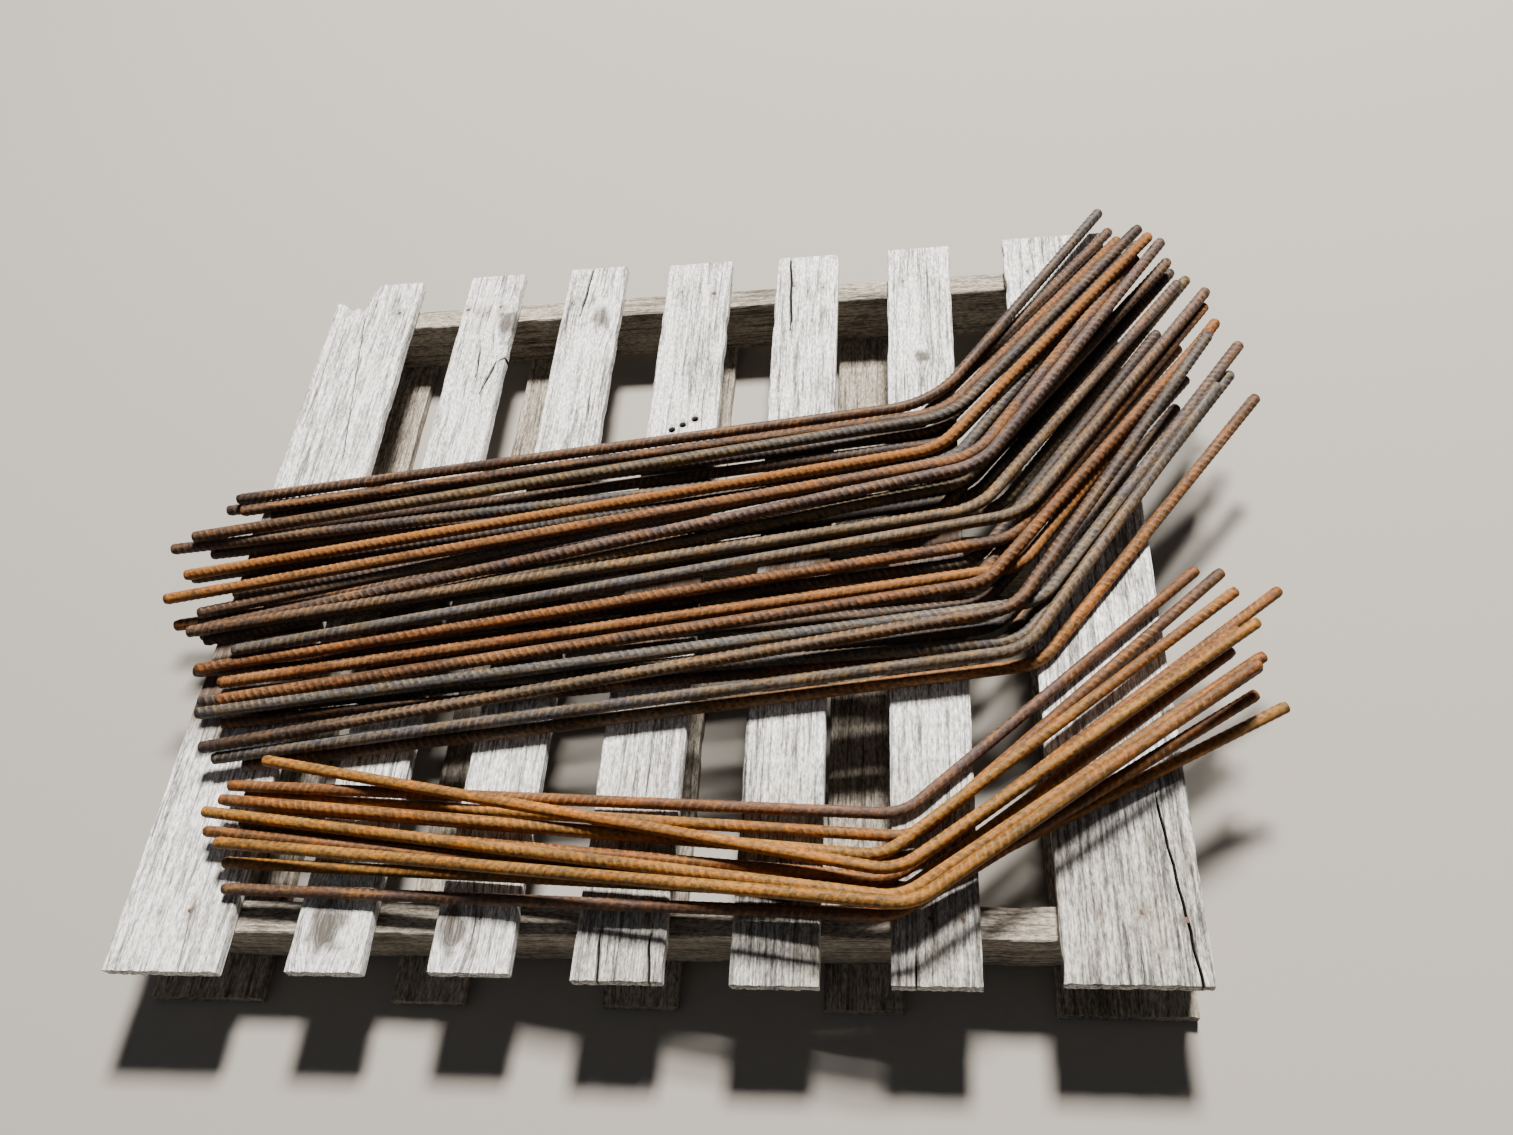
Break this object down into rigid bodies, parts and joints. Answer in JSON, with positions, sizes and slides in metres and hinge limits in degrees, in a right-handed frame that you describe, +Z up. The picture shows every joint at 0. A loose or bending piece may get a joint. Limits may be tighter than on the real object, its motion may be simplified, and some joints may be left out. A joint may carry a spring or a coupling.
{
  "type": "rebar bundle",
  "caption": "Bent steel reinforcing bars lying in loose bundles on a weathered wooden stringer pallet with fork openings, as stored on a building site.",
  "frame": {"origin": "on the ground, under the middle of the pallet", "axes": "+X along the stringers and the bars' long legs, towards the bars' bends; +Y from the near bundle to the far one; +Z up"},
  "size_m": [1.4877, 1.1488, 0.2112],
  "materials": {
    "pallet_wood": "rough sawn softwood, weathered silver grey, with cracks, knots and rusty nail heads",
    "weathered_bar_steel": "hot rolled steel with grey brown mill scale and patches of orange rust",
    "rusted_bar_steel": "hot rolled steel under an even coat of light orange rust"
  },
  "bodies": {
    "root": {"deck_board_1": "pallet_wood", "deck_board_2": "pallet_wood", "deck_board_3": "pallet_wood", "deck_board_4": "pallet_wood", "deck_board_5": "pallet_wood", "deck_board_6": "pallet_wood", "deck_board_7": "pallet_wood", "bottom_board_1": "pallet_wood", "bottom_board_2": "pallet_wood", "bottom_board_3": "pallet_wood", "bottom_board_4": "pallet_wood", "bottom_board_5": "pallet_wood", "stringer_near": "pallet_wood", "stringer_middle": "pallet_wood", "stringer_far": "pallet_wood", "far_bar_01": "weathered_bar_steel", "far_bar_02": "weathered_bar_steel", "far_bar_03": "weathered_bar_steel", "far_bar_04": "weathered_bar_steel", "far_bar_05": "weathered_bar_steel", "far_bar_06": "weathered_bar_steel", "far_bar_07": "weathered_bar_steel", "far_bar_08": "weathered_bar_steel", "far_bar_09": "weathered_bar_steel", "far_bar_10": "weathered_bar_steel", "far_bar_11": "weathered_bar_steel", "far_bar_12": "weathered_bar_steel", "far_bar_13": "weathered_bar_steel", "far_bar_14": "weathered_bar_steel", "far_bar_15": "weathered_bar_steel", "far_bar_16": "weathered_bar_steel", "far_bar_17": "weathered_bar_steel", "far_bar_18": "weathered_bar_steel", "far_bar_19": "weathered_bar_steel", "far_bar_20": "weathered_bar_steel", "far_bar_21": "weathered_bar_steel", "far_bar_22": "weathered_bar_steel", "far_bar_23": "weathered_bar_steel", "far_bar_24": "weathered_bar_steel", "far_bar_25": "weathered_bar_steel", "far_bar_26": "weathered_bar_steel", "far_bar_27": "weathered_bar_steel", "far_bar_28": "weathered_bar_steel", "far_bar_29": "weathered_bar_steel", "far_bar_30": "weathered_bar_steel", "far_bar_31": "weathered_bar_steel", "far_bar_32": "weathered_bar_steel", "far_bar_33": "weathered_bar_steel", "near_bar_01": "rusted_bar_steel", "near_bar_02": "rusted_bar_steel", "near_bar_03": "rusted_bar_steel", "near_bar_04": "rusted_bar_steel", "near_bar_05": "rusted_bar_steel", "near_bar_06": "rusted_bar_steel", "near_bar_07": "rusted_bar_steel", "near_bar_08": "rusted_bar_steel", "near_bar_09": "rusted_bar_steel", "near_bar_10": "rusted_bar_steel", "near_bar_11": "rusted_bar_steel", "near_bar_12": "rusted_bar_steel"}
  },
  "joints": []
}
